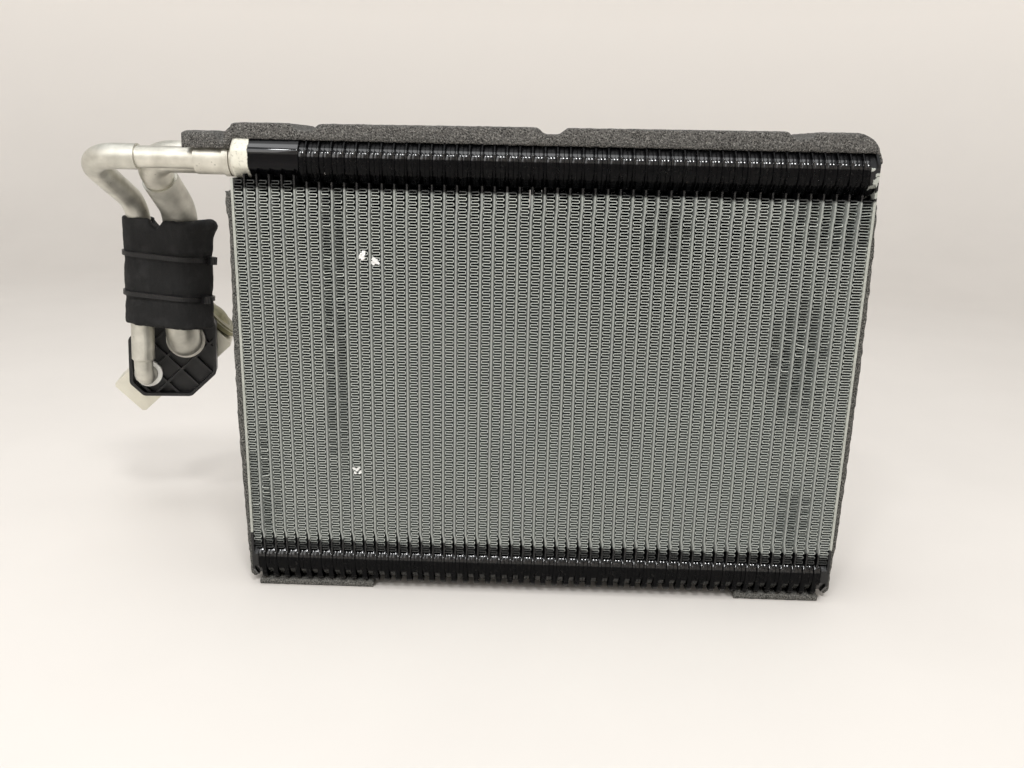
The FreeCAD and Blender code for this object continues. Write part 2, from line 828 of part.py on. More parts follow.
def dip_edges(x, top):
    """Outline of one rounded dip in the top strip, from left to right."""
    half = dip_width / 2
    floor = dip_floor / 2
    run = half - floor
    radius = (run ** 2 + dip_depth ** 2) / (4 * dip_depth)
    turn = math.asin(run / 2 / radius)
    side = radius * math.sin(turn / 2)
    drop = radius * (1 - math.cos(turn / 2))
    low = top - dip_depth
    edges = []
    for sign in (-1, 1):
        rim = Vector(x + sign * half, 0, top)
        upper = Vector(x + sign * (half - side), 0, top - drop)
        bend = Vector(x + sign * (half - run / 2), 0, top - dip_depth / 2)
        lower = Vector(x + sign * (floor + side), 0, low + drop)
        bottom = Vector(x + sign * floor, 0, low)
        arcs = [Part.Arc(rim, upper, bend).toShape(), Part.Arc(bend, lower, bottom).toShape()]
        if sign < 0:
            edges += arcs + [Part.LineSegment(bottom, Vector(x + floor, 0, low)).toShape()]
        else:
            edges += arcs[::-1]
    return edges


def foam_top_z(x):
    """Height of the top strip, which swells a little towards the right."""
    along = (x - top_foam_start) / (top_foam_end - top_foam_start)
    return core_top + top_foam_height + top_foam_rise * along


def top_strip():
    """Strip along the upper tank with its die-cut dips; its right end is folded down over the end plate."""
    third = 1 / 3
    slope_start = Vector(top_foam_start, 0, core_top + tab_clearance)
    slope_end = Vector(top_foam_start + top_foam_slope, 0, foam_top_z(top_foam_start + top_foam_slope))
    bulge = slope_start + (slope_end - slope_start) * third + Vector(0, 0, third * top_foam_height)
    edges = [Part.Arc(slope_start, bulge, slope_end).toShape()]
    last = slope_end
    half = dip_width / 2
    for x in top_foam_dips:
        top = foam_top_z(x)
        edges.append(Part.LineSegment(last, Vector(x - half, 0, top)).toShape())
        edges += dip_edges(x, top)
        last = Vector(x + half, 0, top)
    outside = end_plate_outside[1] + tab_clearance
    crown = Vector(top_foam_end - top_foam_corner, 0, foam_top_z(top_foam_end - top_foam_corner))
    tip = Vector(top_foam_end, 0, core_top - top_foam_hang)
    fall = crown.z - tip.z
    bend = Vector(top_foam_end - third * top_foam_corner, 0, crown.z - third * fall)
    edges.append(Part.LineSegment(last, crown).toShape())
    edges.append(Part.Arc(crown, bend, tip).toShape())
    corners = [
        tip,
        Vector(outside, 0, tip.z),
        Vector(outside, 0, core_top),
        Vector(top_foam_start, 0, core_top),
        slope_start,
    ]
    edges += [Part.LineSegment(start, end).toShape() for start, end in zip(corners[:-1], corners[1:])]
    strip = Part.Face(Part.Wire(edges)).extrude(Vector(0, top_foam_depth, 0))
    strip.translate(Vector(0, -top_foam_depth / 2, 0))
    return strip


def foam_top():
    """Strip along the upper tank, with a tab over the junction's neck that hangs down behind it."""
    tab_top = core_top + top_foam_height - tab_top_drop
    tab_bottom = neck_z + max(neck_height / 2, suction_branch_radius) + tab_clearance
    wall = connector_left - tab_clearance
    tab = prism_along_y(
        [
            (tab_end, tab_bottom),
            (wall, tab_bottom),
            (wall, core_top),
            (top_foam_start + top_foam_slope / 2, core_top),
            (top_foam_start, core_top + tab_clearance),
            (top_foam_start - tab_slope, tab_top),
            (tab_end, tab_top),
        ],
        -tab_depth / 2,
        tab_depth / 2,
    )
    spare = ring_proud + tab_clearance
    back = neck_depth / 2 + spare
    flap_bottom = neck_z - neck_height / 2 - flap_hang
    flap = prism_along_x(
        [
            (0, tab_bottom),
            (back, tab_bottom),
            (back, flap_bottom),
            (back + flap_thickness, flap_bottom),
            (back + flap_thickness, tab_top),
            (0, tab_top),
        ],
        wall - flap_length,
        wall,
    )
    rings_left = connector_left - 2 * ring_width - ring_groove - tab_clearance
    room = oval(neck_depth + 2 * spare, neck_height + 2 * spare, rings_left, wall)
    return fused(top_strip(), tab, flap).cut(room)


def side_foam(side, top):
    """Strip on the outside of an end plate, swelling at half height and rounded off at its foot."""
    inner = side * end_plate_outside[side]
    outer = inner + side * side_foam_thickness
    low = side_foam_lift
    turn = low + side_foam_corner
    swell = Vector(outer + side * side_foam_bulge, 0, (turn + top) / 2)
    foot = Vector(inner, 0, low)
    knee = Vector(outer - side * side_foam_thickness / 4, 0, low + side_foam_corner / 4)
    start = Vector(outer, 0, turn)
    high_out = Vector(outer, 0, top)
    high_in = Vector(inner, 0, top)
    edges = [
        Part.Arc(foot, knee, start).toShape(),
        Part.Arc(start, swell, high_out).toShape(),
        Part.LineSegment(high_out, high_in).toShape(),
        Part.LineSegment(high_in, foot).toShape(),
    ]
    strip = Part.Face(Part.Wire(edges)).extrude(Vector(0, side_foam_front + side_foam_back, 0))
    strip.translate(Vector(0, -side_foam_front, 0))
    return strip


def foam_left():
    """Left strip, torn off short of the tank, with a loose step left at its top."""
    outside = connector_left - side_foam_thickness
    step = box(
        outside - left_foam_step_width,
        outside + left_foam_step_width,
        -side_foam_front,
        side_foam_back,
        left_foam_top - left_foam_step,
        left_foam_top,
    )
    return fused(side_foam(-1, left_foam_top), step)


def pad(x0, x1):
    return box(x0, x1, -pad_depth / 2, pad_depth / 2, 0, pad_thickness)


def group(solids):
    return Part.makeCompound(solids)


def port_seal(u, radius):
    """Rubber ring round a pipe's end, in the recess at the mouth of its port."""
    ring = port_rod(radius + seal_groove - port_clearance, u, valve_face, valve_face + seal_section)
    hole = port_rod(radius + braze_gap, u, valve_face, valve_face + seal_section)
    return on_valve(ring.cut(hole))


nodes = {
    "tube_elements": group([tube_element(index) for index in range(tube_count)]),
    "air_fins": group(fin_packs()),
    "end_plate_left": end_plate(-1, False),
    "end_plate_right": end_plate(1, True),
    "header_connector": header_connector(),
    "pipe_junction": pipe_junction(),
    "liquid_pipe": liquid_pipe(),
    "suction_pipe": suction_pipe(),
    "valve_body": valve_body(),
    "power_head_cup": power_head_cup(),
    "diaphragm": diaphragm(),
    "power_head_dome": power_head_dome(),
    "sensing_rod": sensing_rod(),
    "metering_ball": metering_ball(),
    "valve_spring": valve_spring(),
    "adjusting_plug": adjusting_plug(),
    "clamp_plate": clamp_plate(),
    "clamp_screw": clamp_screw(),
    "valve_cover": valve_cover(),
    "suction_collar": suction_collar(),
    "port_washer": port_washer(),
    "liquid_seal": port_seal(liquid_u, liquid_end_radius),
    "suction_seal": port_seal(suction_u, suction_pipe_radius),
    "pipe_wrap": pipe_wrap(),
    "cable_tie_upper": cable_tie(wrap_top - upper_tie_drop, upper_tie_head_place),
    "cable_tie_lower": cable_tie(wrap_top - lower_tie_drop, lower_tie_head_place),
    "foam_top": foam_top(),
    "foam_left": foam_left(),
    "foam_right": side_foam(1, right_foam_top),
    "pad_left": pad(left_pad_start, left_pad_end),
    "pad_right": pad(right_pad_start, right_pad_end),
}

os.makedirs("parts", exist_ok=True)
for name, shape in nodes.items():
    shape.translate(Vector(-origin_x, 0, 0))
    shape.exportStep(f"parts/{name}.step")
    print(name, "solids", len(shape.Solids), "valid", shape.isValid(), "volume", round(shape.Volume))
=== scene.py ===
import math
import random

import bmesh
import bpy
from mathutils import Matrix, Vector, noise


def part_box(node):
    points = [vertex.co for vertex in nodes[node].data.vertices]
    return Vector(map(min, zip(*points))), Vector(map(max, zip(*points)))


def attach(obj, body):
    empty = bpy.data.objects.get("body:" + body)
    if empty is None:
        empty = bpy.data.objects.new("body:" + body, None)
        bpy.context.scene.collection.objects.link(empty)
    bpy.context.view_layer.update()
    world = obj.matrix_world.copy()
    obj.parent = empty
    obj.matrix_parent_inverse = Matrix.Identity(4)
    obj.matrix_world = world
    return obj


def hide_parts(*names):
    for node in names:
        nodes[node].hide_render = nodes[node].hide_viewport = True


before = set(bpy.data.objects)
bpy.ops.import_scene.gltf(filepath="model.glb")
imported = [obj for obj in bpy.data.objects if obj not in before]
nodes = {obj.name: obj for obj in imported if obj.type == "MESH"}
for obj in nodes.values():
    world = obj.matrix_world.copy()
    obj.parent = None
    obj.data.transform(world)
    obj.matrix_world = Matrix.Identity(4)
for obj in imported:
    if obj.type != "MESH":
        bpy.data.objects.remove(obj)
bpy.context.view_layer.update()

MM = 0.001
GRAIN_ROUGHNESS = 0.5
FULL_RELIEF = 1.0

# Layout of the core in millimetres, measured from its middle in X and Y, and from the floor in Z
TUBE_COUNT = 50
TUBE_PITCH = 6.0
TUBE_THICKNESS = 1.9
CORE_FRONT = -29.0
FIN_FRONT = -28.2
LOWER_TANK_TOP = 26.0
UPPER_TANK_BOTTOM = 212.0
CONNECTOR_BOTTOM = 215.0
CONNECTOR_TUBES = 5
LEFT_PLATE_X = -152.05
RIGHT_PLATE_X = 152.95
CONNECTOR_LEFT = -153.25
CORE_BOTTOM = 4.0
CORE_TOP = 234.0
TANK_SLOPE_START = 19.0

core_low, core_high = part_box("tube_elements")
core_middle_x = (core_low.x + core_high.x) / 2


def at(x, y, z):
    """Point of the frame, from millimetres measured at the middle of the core."""
    return Vector((core_middle_x + x * MM, y * MM, z * MM))


def colour(red, green, blue):
    """Linear colour from the eight-bit values that a picture would show."""
    def linear(value):
        share = value / 255
        return share / 12.92 if share <= 0.04045 else ((share + 0.055) / 1.055) ** 2.4
    return (linear(red), linear(green), linear(blue), 1.0)


class Wire:
    """A shader socket that takes part in arithmetic."""

    def __init__(self, finish, socket):
        self.finish = finish
        self.socket = socket

    def math(self, operation, *values):
        return self.finish.sum_up(operation, self, *values)

    def __add__(self, other):
        return self.math("ADD", other)

    def __radd__(self, other):
        return self.math("ADD", other)

    def __sub__(self, other):
        return self.math("SUBTRACT", other)

    def __rsub__(self, other):
        return self.finish.sum_up("SUBTRACT", other, self)

    def __mul__(self, other):
        return self.math("MULTIPLY", other)

    def __rmul__(self, other):
        return self.math("MULTIPLY", other)

    def __truediv__(self, other):
        return self.math("DIVIDE", other)

    def __abs__(self):
        return self.math("ABSOLUTE")

    def __mod__(self, other):
        return self.math("FLOORED_MODULO", other)

    def clip(self):
        """Held between 0 and 1."""
        return self.math("MAXIMUM", 0.0).math("MINIMUM", 1.0)

    def above(self, edge, softness):
        """0 below the edge and 1 above it, with a ramp that wide between."""
        return ((self - edge) / softness + 0.5).clip()

    def below(self, edge, softness):
        return 1.0 - self.above(edge, softness)

    def within(self, low, high, softness):
        return self.above(low, softness) * self.below(high, softness)


class Finish:
    """One material and the nodes in it."""

    def __init__(self, name):
        self.material = bpy.data.materials.new(name)
        self.material.use_nodes = True
        self.tree = self.material.node_tree
        self.tree.nodes.clear()
        place = self.node("ShaderNodeTexCoord", output="Object")
        offset = {0: place, 1: (core_middle_x, 0.0, 0.0)}
        placed = self.node("ShaderNodeVectorMath", {"operation": "SUBTRACT"}, offset)
        scaled = {0: placed, "Scale": 1 / MM}
        self.place = self.node("ShaderNodeVectorMath", {"operation": "SCALE"}, scaled)
        self.x, self.y, self.z = self.parts(self.place)

    def node(self, kind, settings=None, inputs=None, output=0):
        made = self.tree.nodes.new(kind)
        for name, value in (settings or {}).items():
            setattr(made, name, value)
        for name, value in (inputs or {}).items():
            if isinstance(value, Wire):
                self.tree.links.new(value.socket, made.inputs[name])
            else:
                made.inputs[name].default_value = value
        return Wire(self, made.outputs[output])

    def sum_up(self, operation, *values):
        return self.node("ShaderNodeMath", {"operation": operation}, dict(enumerate(values)))

    def parts(self, vector):
        """The three numbers of a vector."""
        first = self.node("ShaderNodeSeparateXYZ", inputs={0: vector})
        return [Wire(self, socket) for socket in first.socket.node.outputs]

    def stretched(self, x, y, z):
        """The place, scaled along each axis, for grain that runs one way."""
        inputs = {0: self.place, 1: (x, y, z)}
        return self.node("ShaderNodeVectorMath", {"operation": "MULTIPLY"}, inputs)

    def grain(self, size, detail=3.0, vector=None):
        """Cloudy noise from 0 to 1, with features about that many millimetres wide."""
        inputs = {
            "Vector": vector or self.place,
            "Scale": 1 / size,
            "Detail": detail,
            "Roughness": GRAIN_ROUGHNESS,
        }
        return self.node("ShaderNodeTexNoise", inputs=inputs)

    def cells(self, size):
        """Distance to the nearest cell centre, in cells that many millimetres wide."""
        inputs = {"Vector": self.place, "Scale": 1 / size}
        return self.node("ShaderNodeTexVoronoi", {"feature": "F1"}, inputs)

    def mix(self, factor, first, second):
        """Blend of two colours."""
        inputs = {0: factor, 6: first, 7: second}
        return self.node("ShaderNodeMix", {"data_type": "RGBA"}, inputs, output=2)

    def bump(self, height, depth):
        """Surface relief that is that many millimetres deep."""
        inputs = {"Height": height, "Distance": depth * MM, "Strength": FULL_RELIEF}
        return self.node("ShaderNodeBump", inputs=inputs)

    def facing_up(self):
        """1 on surfaces that face up, -1 on those that face down."""
        normal = self.node("ShaderNodeNewGeometry", output="Normal")
        return self.parts(normal)[2]

    def edge_mask(self, reach, softness=0.08):
        """1 near the sharp edges of a solid and 0 on its faces."""
        bevelled = self.node("ShaderNodeBevel", {"samples": 4}, {"Radius": reach * MM})
        true = self.node("ShaderNodeNewGeometry", output="Normal")
        dot = self.node(
            "ShaderNodeVectorMath", {"operation": "DOT_PRODUCT"}, {0: bevelled, 1: true}, output=1
        )
        return (1.0 - dot).above(softness, softness)

    def done(self, **sockets):
        """Ends the material with its surface shader; names use _ for a space."""
        inputs = {name.replace("_", " "): value for name, value in sockets.items()}
        surface = self.node("ShaderNodeBsdfPrincipled", inputs=inputs)
        output = self.tree.nodes.new("ShaderNodeOutputMaterial")
        self.tree.links.new(surface.socket, output.inputs["Surface"])
        return self.material


def wear(finish, size):
    """Soft uneven patches that no handled surface is free of."""
    return finish.grain(size, 4.0).above(0.52, 0.25)


def satin_pipe(name, light, dark):
    """Drawn aluminium tube, dulled, with fine lengthwise scratches and darker handling marks."""
    f = Finish(name)
    scratches = f.grain(0.35, 2.0, f.stretched(1.0, 1.0, 0.08))
    cloud = f.grain(9.0, 4.0)
    spots = f.cells(3.5).below(0.12, 0.1) * f.grain(14.0).above(0.55, 0.1)
    tone = f.mix(cloud.above(0.5, 0.35), dark, light)
    tone = f.mix(spots * 0.5, tone, colour(120, 116, 108))
    return f.done(
        Base_Color=tone,
        Metallic=0.85,
        Roughness=0.34 + 0.16 * cloud + 0.06 * scratches,
        Normal=f.bump(0.7 * scratches + 1.5 * cloud, 0.06),
    )


def black_coat_height(f):
    """Runs and brush marks of the thick black coat."""
    return f.grain(2.2, 3.0) + 0.5 * f.grain(0.7, 2.0)


def core_sheet():
    """Bare brazed sheet between the tanks, black where the tubes run into them; each tube is near-white on
    its nose and painted darker on its flanks, as painted light and shade of a rounded nose.
    """
    f = Finish("core_sheet")
    ragged = (f.grain(5.0, 3.0) - 0.5) * 4.0
    upper = f.z.above(UPPER_TANK_BOTTOM - 1.5 + ragged, 1.2)
    lower = f.z.below(LOWER_TANK_TOP + 2.8 + ragged, 1.5)
    coat = (upper + lower).clip()
    # Painted shade: the flanks of each tube are darkened against its near-white nose, which stands in for the
    # highlight along it.
    from_tube = abs((f.x / TUBE_PITCH + 0.5) % 1.0 - 0.5) * TUBE_PITCH
    flank_shade_reach = from_tube / (TUBE_THICKNESS / 2)
    streak = f.grain(0.8, 3.0, f.stretched(1.0, 1.0, 0.12))
    bare = f.mix(streak, colour(238, 240, 235), colour(255, 255, 252))
    bare = f.mix(flank_shade_reach.above(0.7, 0.3) * 0.8, bare, colour(96, 102, 99))
    bare = f.mix(wear(f, 18.0) * 0.4, bare, colour(156, 161, 154))
    tone = f.mix(coat, bare, colour(6, 6, 7))
    relief = (1.0 - coat) * 0.1 * streak + coat * black_coat_height(f) * 0.3
    return f.done(
        Base_Color=tone,
        Metallic=0.2 * (1.0 - coat),
        Roughness=0.44 - 0.2 * coat + 0.08 * streak,
        Normal=f.bump(relief, 0.25),
    )


# Heights at which the coat lies thick on the tanks' shoulders and shines, as (from, to)
SHINING_BANDS = ((17.6, 21.0), (225.6, 229.6), (213.5, 217.0))
BAND_SOFTNESS = 0.6
TOOTH_HALF_WIDTH = 1.25


def tank_coat():
    """Deep black coat on the tank cups, with a few runs in it, a hard gloss along the shoulders, and the lip
    teeth under the lower tank painted grey as painted light.
    """
    f = Finish("tank_coat")
    runs = f.grain(4.0, 3.0)
    dust = f.grain(1.4, 3.0).above(0.68, 0.06) * 0.2
    tone = f.mix(runs, colour(3, 3, 4), colour(8, 8, 9))
    from_lip = abs((f.x / TUBE_PITCH + 0.5) % 1.0 - 0.5) * TUBE_PITCH
    # Painted light: the lips' teeth below the lower tank are painted mid grey over the black, as if lit
    # against the shaded cups.
    teeth = from_lip.below(TOOTH_HALF_WIDTH, 0.1) * f.z.below(TOOTH_TOP, 0.6)
    first, second, third = (f.z.within(low, high, BAND_SOFTNESS) for low, high in SHINING_BANDS)
    bead = first + second + third
    return f.done(
        Base_Color=f.mix(teeth * 0.8, f.mix(dust, tone, colour(64, 64, 62)), colour(62, 62, 60)),
        Roughness=0.2 + 0.12 * runs,
        Specular_IOR_Level=0.1,
        Coat_Weight=bead.clip(),
        Coat_Roughness=0.06,
        Normal=f.bump(runs, 0.03),
    )


def fin_sheet():
    """Thin folded strip; louvres are relief with painted shade in their slits, the strip is painted darker
    further back into the core as shade and paler on its front edge as a highlight, and the tanks' black coat
    has run onto its ends.
    """
    f = Finish("fin_sheet")
    louvre = abs((f.y / 1.1) % 1.0 - 0.5) * 2.0
    cloud = f.grain(26.0, 3.0)
    fleck = f.grain(1.1, 2.0)
    tone = f.mix(cloud, colour(128, 134, 130), colour(156, 161, 157))
    tone = f.mix(fleck.above(0.55, 0.2) * 0.5, tone, colour(188, 193, 188))
    # Painted shade: darker the further back into the core.
    deep = f.y.above(FIN_FRONT + 1.6, 2.0) * 0.9
    tone = f.mix(deep, tone, colour(44, 48, 46))
    # Painted highlight: paler along the front edge.
    edge = f.y.below(FIN_FRONT + 0.3, 0.3)
    tone = f.mix(edge * 0.8, tone, colour(222, 227, 221))
    # Painted shade in the louvre slits.
    tone = f.mix(louvre.below(0.25, 0.15) * 0.6, tone, colour(60, 65, 62))
    ragged = (f.grain(5.0, 3.0) - 0.5) * 4.0
    lower = f.z.below(LOWER_TANK_TOP + 1.0 + ragged, 3.0)
    upper = f.z.above(UPPER_TANK_BOTTOM - 2.5 + ragged, 2.0)
    coat = (lower + upper).clip()
    tone = f.mix(coat * 0.93, tone, colour(10, 10, 12))
    return f.done(
        Base_Color=tone,
        Metallic=0.45 * (1.0 - coat),
        Roughness=0.42 + 0.2 * fleck,
        Normal=f.bump(louvre, 0.25),
    )


def end_sheet():
    """End plate: bare scuffed sheet, black where it closes the tanks and chipped at the upper right."""
    f = Finish("end_sheet")
    ragged = (f.grain(4.0, 3.0) - 0.5) * 4.0
    upper = f.z.above(UPPER_TANK_BOTTOM - 1.0 + ragged, 0.8) * f.x.above(0.0, 1.0)
    lower = f.z.below(LOWER_TANK_TOP + 5.0 + ragged, 0.8)
    chips = f.z.within(204.0, 228.0, 1.0) * f.grain(3.6, 3.0).above(0.56, 0.03)
    coat = (upper + lower).clip() * (1.0 - chips)
    scuff = f.grain(1.6, 4.0, f.stretched(1.0, 1.0, 0.3))
    bare = f.mix(scuff, colour(150, 154, 148), colour(196, 198, 190))
    return f.done(
        Base_Color=f.mix(coat, bare, colour(7, 7, 8)),
        Metallic=0.5 * (1.0 - coat),
        Roughness=0.42 - 0.18 * coat + 0.12 * scuff,
        Normal=f.bump(scuff, 0.08),
    )


def connector_finish():
    """Black coat that stops in a ragged line short of the bare, cream-grey left end."""
    f = Finish("connector_finish")
    ragged = (f.grain(4.5, 4.0) - 0.5) * 6.0
    coat = f.x.above(-144.4 + ragged * 0.5, 0.5)
    cloud = f.grain(5.0, 4.0)
    bare = f.mix(cloud, colour(208, 205, 190), colour(236, 234, 222))
    bare = f.mix(f.grain(1.2, 3.0).above(0.62, 0.1) * 0.5, bare, colour(160, 156, 142))
    relief = coat * (0.8 + 0.12 * black_coat_height(f)) + 0.1 * cloud
    return f.done(
        Base_Color=f.mix(coat, bare, colour(6, 6, 8)),
        Metallic=0.35 * (1.0 - coat),
        Roughness=0.5 - 0.36 * coat,
        Specular_IOR_Level=0.16,
        Coat_Weight=coat * f.z.within(226.5, 231.0, 0.6),
        Coat_Roughness=0.05,
        Normal=f.bump(relief, 0.04),
    )


def machined_block(name, light, dark, scale=0.5):
    """Milled aluminium with fine tool marks and softened edges."""
    f = Finish(name)
    marks = f.grain(scale, 3.0, f.stretched(1.0, 0.15, 1.0))
    cloud = f.grain(7.0, 3.0)
    tone = f.mix(cloud, dark, light)
    tone = f.mix(f.edge_mask(0.5) * 0.6, tone, colour(226, 224, 208))
    return f.done(
        Base_Color=tone,
        Metallic=0.75,
        Roughness=0.36 + 0.16 * marks,
        Normal=f.bump(marks, 0.05),
    )


def passivated_steel(name, light, dark):
    """Pressed steel with a yellow-green plating that is patchy and rubbed at its rims."""
    f = Finish(name)
    cloud = f.grain(4.0, 4.0)
    tone = f.mix(cloud.above(0.5, 0.4), dark, light)
    tone = f.mix(f.edge_mask(0.4) * 0.7, tone, colour(214, 212, 190))
    return f.done(
        Base_Color=tone,
        Metallic=0.8,
        Roughness=0.3 + 0.2 * cloud,
        Normal=f.bump(cloud, 0.06),
    )


def moulded_plastic(name, tone, pale):
    """Black moulding: faint spark-eroded grain, edges painted paler as highlights, and patches of dust."""
    f = Finish(name)
    spark = f.grain(0.35, 2.0)
    dust = f.grain(6.0, 4.0).above(0.6, 0.2)
    # Painted highlight: the edges are painted paler.
    shade = f.mix(f.edge_mask(0.35) * 0.5, tone, pale)
    shade = f.mix(dust * 0.18, shade, pale)
    return f.done(
        Base_Color=shade,
        Roughness=0.42 + 0.12 * spark,
        Normal=f.bump(spark, 0.04),
    )


def tie_nylon():
    """Glossy black nylon with the fine teeth of a tie across its band."""
    f = Finish("tie_nylon")
    teeth = abs((f.x / 0.9) % 1.0 - 0.5) * 2.0
    band = f.grain(0.6, 2.0)
    return f.done(
        Base_Color=f.mix(band * 0.4, colour(5, 5, 6), colour(14, 14, 15)),
        Roughness=0.3 + 0.15 * band,
        Normal=f.bump(teeth, 0.12),
    )


def white_nylon():
    f = Finish("white_nylon")
    cloud = f.grain(2.5, 3.0)
    return f.done(
        Base_Color=f.mix(cloud, colour(236, 235, 228), colour(252, 251, 247)),
        Roughness=0.4 + 0.15 * cloud,
        Normal=f.bump(cloud, 0.04),
    )


def seal_rubber():
    f = Finish("seal_rubber")
    cloud = f.grain(1.5, 3.0)
    return f.done(
        Base_Color=f.mix(cloud, colour(24, 30, 26), colour(40, 46, 42)),
        Roughness=0.45 + 0.2 * cloud,
        Normal=f.bump(cloud, 0.05),
    )


def open_cell_foam(name, dark, light, cell=0.9):
    """Charcoal foam: open cells with paler walls, and paler on what faces up, as settled dust and painted
    light from above.
    """
    f = Finish(name)
    walls = f.cells(cell)
    small = f.cells(cell * 0.45)
    patch = f.grain(7.0, 4.0)
    tone = f.mix(walls.above(0.42, 0.3), dark, light)
    tone = f.mix(patch.above(0.56, 0.25) * 0.35, tone, colour(98, 97, 94))
    spark = f.grain(0.7, 2.0).above(0.6, 0.06) * 0.45
    tone = f.mix(spark, tone, colour(168, 166, 160))
    # Paler on what faces up: partly dust, partly painted light from above.
    dust = f.facing_up().above(0.6, 0.5) * 0.25
    tone = f.mix(dust, tone, colour(118, 117, 113))
    return f.done(
        Base_Color=tone,
        Roughness=0.96,
        Specular_IOR_Level=0.2,
        Normal=f.bump(walls + 0.5 * small, 0.5),
    )


def wrap_foam():
    """Black foam tape, nearly smooth, with a soft crinkle round the pipes."""
    f = Finish("wrap_foam")
    crinkle = f.grain(2.6, 4.0, f.stretched(1.0, 1.0, 0.35))
    pore = f.cells(0.55)
    tone = f.mix(crinkle, colour(14, 14, 14), colour(30, 30, 30))
    tone = f.mix(f.grain(8.0, 3.0).above(0.6, 0.15) * 0.3, tone, colour(52, 52, 52))
    return f.done(
        Base_Color=tone,
        Roughness=0.78 + 0.12 * pore,
        Specular_IOR_Level=0.35,
        Normal=f.bump(crinkle + 0.25 * pore, 0.5),
    )


def dress(node, material):
    """Gives a solid of the frame its finish."""
    data = nodes[node].data
    data.materials.clear()
    data.materials.append(material)


def add_piece(name, mesh, material):
    """Links a mesh as a piece of the object, with its finish and the slot it belongs to."""
    mesh.materials.clear()
    mesh.materials.append(material)
    piece = bpy.data.objects.new(name, mesh)
    bpy.context.scene.collection.objects.link(piece)
    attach(piece, "root")
    return piece


def soft_copy(node, voxel, rounds):
    """Close-grained mesh of a soft solid, with its corners rounded off by a few rounds of smoothing."""
    source = bpy.data.objects.new(node + "_form", nodes[node].data.copy())
    bpy.context.scene.collection.objects.link(source)
    remesh = source.modifiers.new("grain", "REMESH")
    remesh.mode = "VOXEL"
    remesh.voxel_size = voxel * MM
    smooth = source.modifiers.new("round", "SMOOTH")
    smooth.factor = 0.5
    smooth.iterations = rounds
    graph = bpy.context.evaluated_depsgraph_get()
    mesh = bpy.data.meshes.new_from_object(source.evaluated_get(graph), depsgraph=graph)
    bpy.data.objects.remove(source)
    return mesh


def roughen(mesh, size, depth, tear=None):
    """Pushes the surface in by cloudy noise, and deeper where it is torn."""
    normals = [vertex.normal.copy() for vertex in mesh.vertices]
    for vertex, normal in zip(mesh.vertices, normals):
        spot = vertex.co / (size * MM)
        push = 0.5 + 0.5 * noise.fractal(spot, 1.0, 2.0, 3)
        if tear:
            push += tear(vertex.co)
        vertex.co -= normal * push * depth * MM
    for polygon in mesh.polygons:
        polygon.use_smooth = True


def torn_end(plane, reach, size, sign):
    """Tear that bites in from the end of a strip that lies at that height."""
    def depth(point):
        from_end = abs(point.z / MM - plane)
        if from_end > reach:
            return 0.0
        bite = noise.noise(point / (size * MM)) + 0.4
        return max(0.0, bite) * (1 - from_end / reach) * sign
    return depth


def foam_piece(node, name, finish, voxel=1.4, rounds=2, size=3.0, depth=0.5, tear=None):
    mesh = soft_copy(node, voxel, rounds)
    roughen(mesh, size, depth, tear)
    piece = add_piece(name, mesh, finish)
    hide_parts(node)
    return piece


# Stack of drawn plates: rings of each cup as (distance from the plate's middle, inset), and of the lip
CUP_RINGS = ((3.0, 0.35), (2.9, 0.12), (2.45, 0.06), (1.6, 0.08), (1.1, 0.2), (0.62, 0.36))
LIP_RINGS = ((0.55, 0.3), (0.5, 0.1), (0.4, 0.0))
TOOTH_TOP = 10.5
TOOTH_SPREAD = 1.5
SLOPE_SHARE = 2 - math.sqrt(2)
TUBE_HALF_SECTION = ((0.3, -29.0), (0.46, -28.85), (0.46, -28.0), (0.95, -27.2))


def rounded_outline(points, radius, steps=3):
    """Closed flat outline with every corner turned into an arc."""
    outline = []
    for index, point in enumerate(points):
        corner = Vector(point)
        back = (Vector(points[index - 1]) - corner).normalized()
        ahead = (Vector(points[(index + 1) % len(points)]) - corner).normalized()
        half = back.angle(ahead) / 2
        centre = corner + (back + ahead).normalized() * (radius / math.sin(half))
        spoke = corner + back * (radius / math.tan(half)) - centre
        leftward = back.y * ahead.x - back.x * ahead.y > 0
        sweep = (math.pi - 2 * half) * (1 if leftward else -1)
        for step in range(steps + 1):
            angle = sweep * step / steps
            turned = (
                spoke.x * math.cos(angle) - spoke.y * math.sin(angle),
                spoke.x * math.sin(angle) + spoke.y * math.cos(angle),
            )
            outline.append(centre + Vector(turned))
    return outline


def tank_outline(low, high, low_slope, high_slope, inset, radius):
    """Section of a tank as (y, z) pairs, with sloped corners, brought in all round by the inset."""
    front = CORE_FRONT + inset
    low += inset
    high -= inset
    low_slope -= SLOPE_SHARE * inset
    high_slope -= SLOPE_SHARE * inset
    points = [
        (front, low + low_slope),
        (front, high - high_slope),
        (front + high_slope, high),
        (-front - high_slope, high),
        (-front, high - high_slope),
        (-front, low + low_slope),
        (-front - low_slope, low),
        (front + low_slope, low),
    ]
    return rounded_outline(points, radius)


def skin(rings, vertices, faces):
    """Wraps a run of closed rings, each a list of points of the frame, in quads."""
    size = len(rings[0])
    start = len(vertices)
    for ring in rings:
        vertices.extend(ring)
    for index in range(len(rings) - 1):
        a = start + index * size
        b = a + size
        for k in range(size):
            n = (k + 1) % size
            faces.append((a + k, b + k, b + n, a + n))


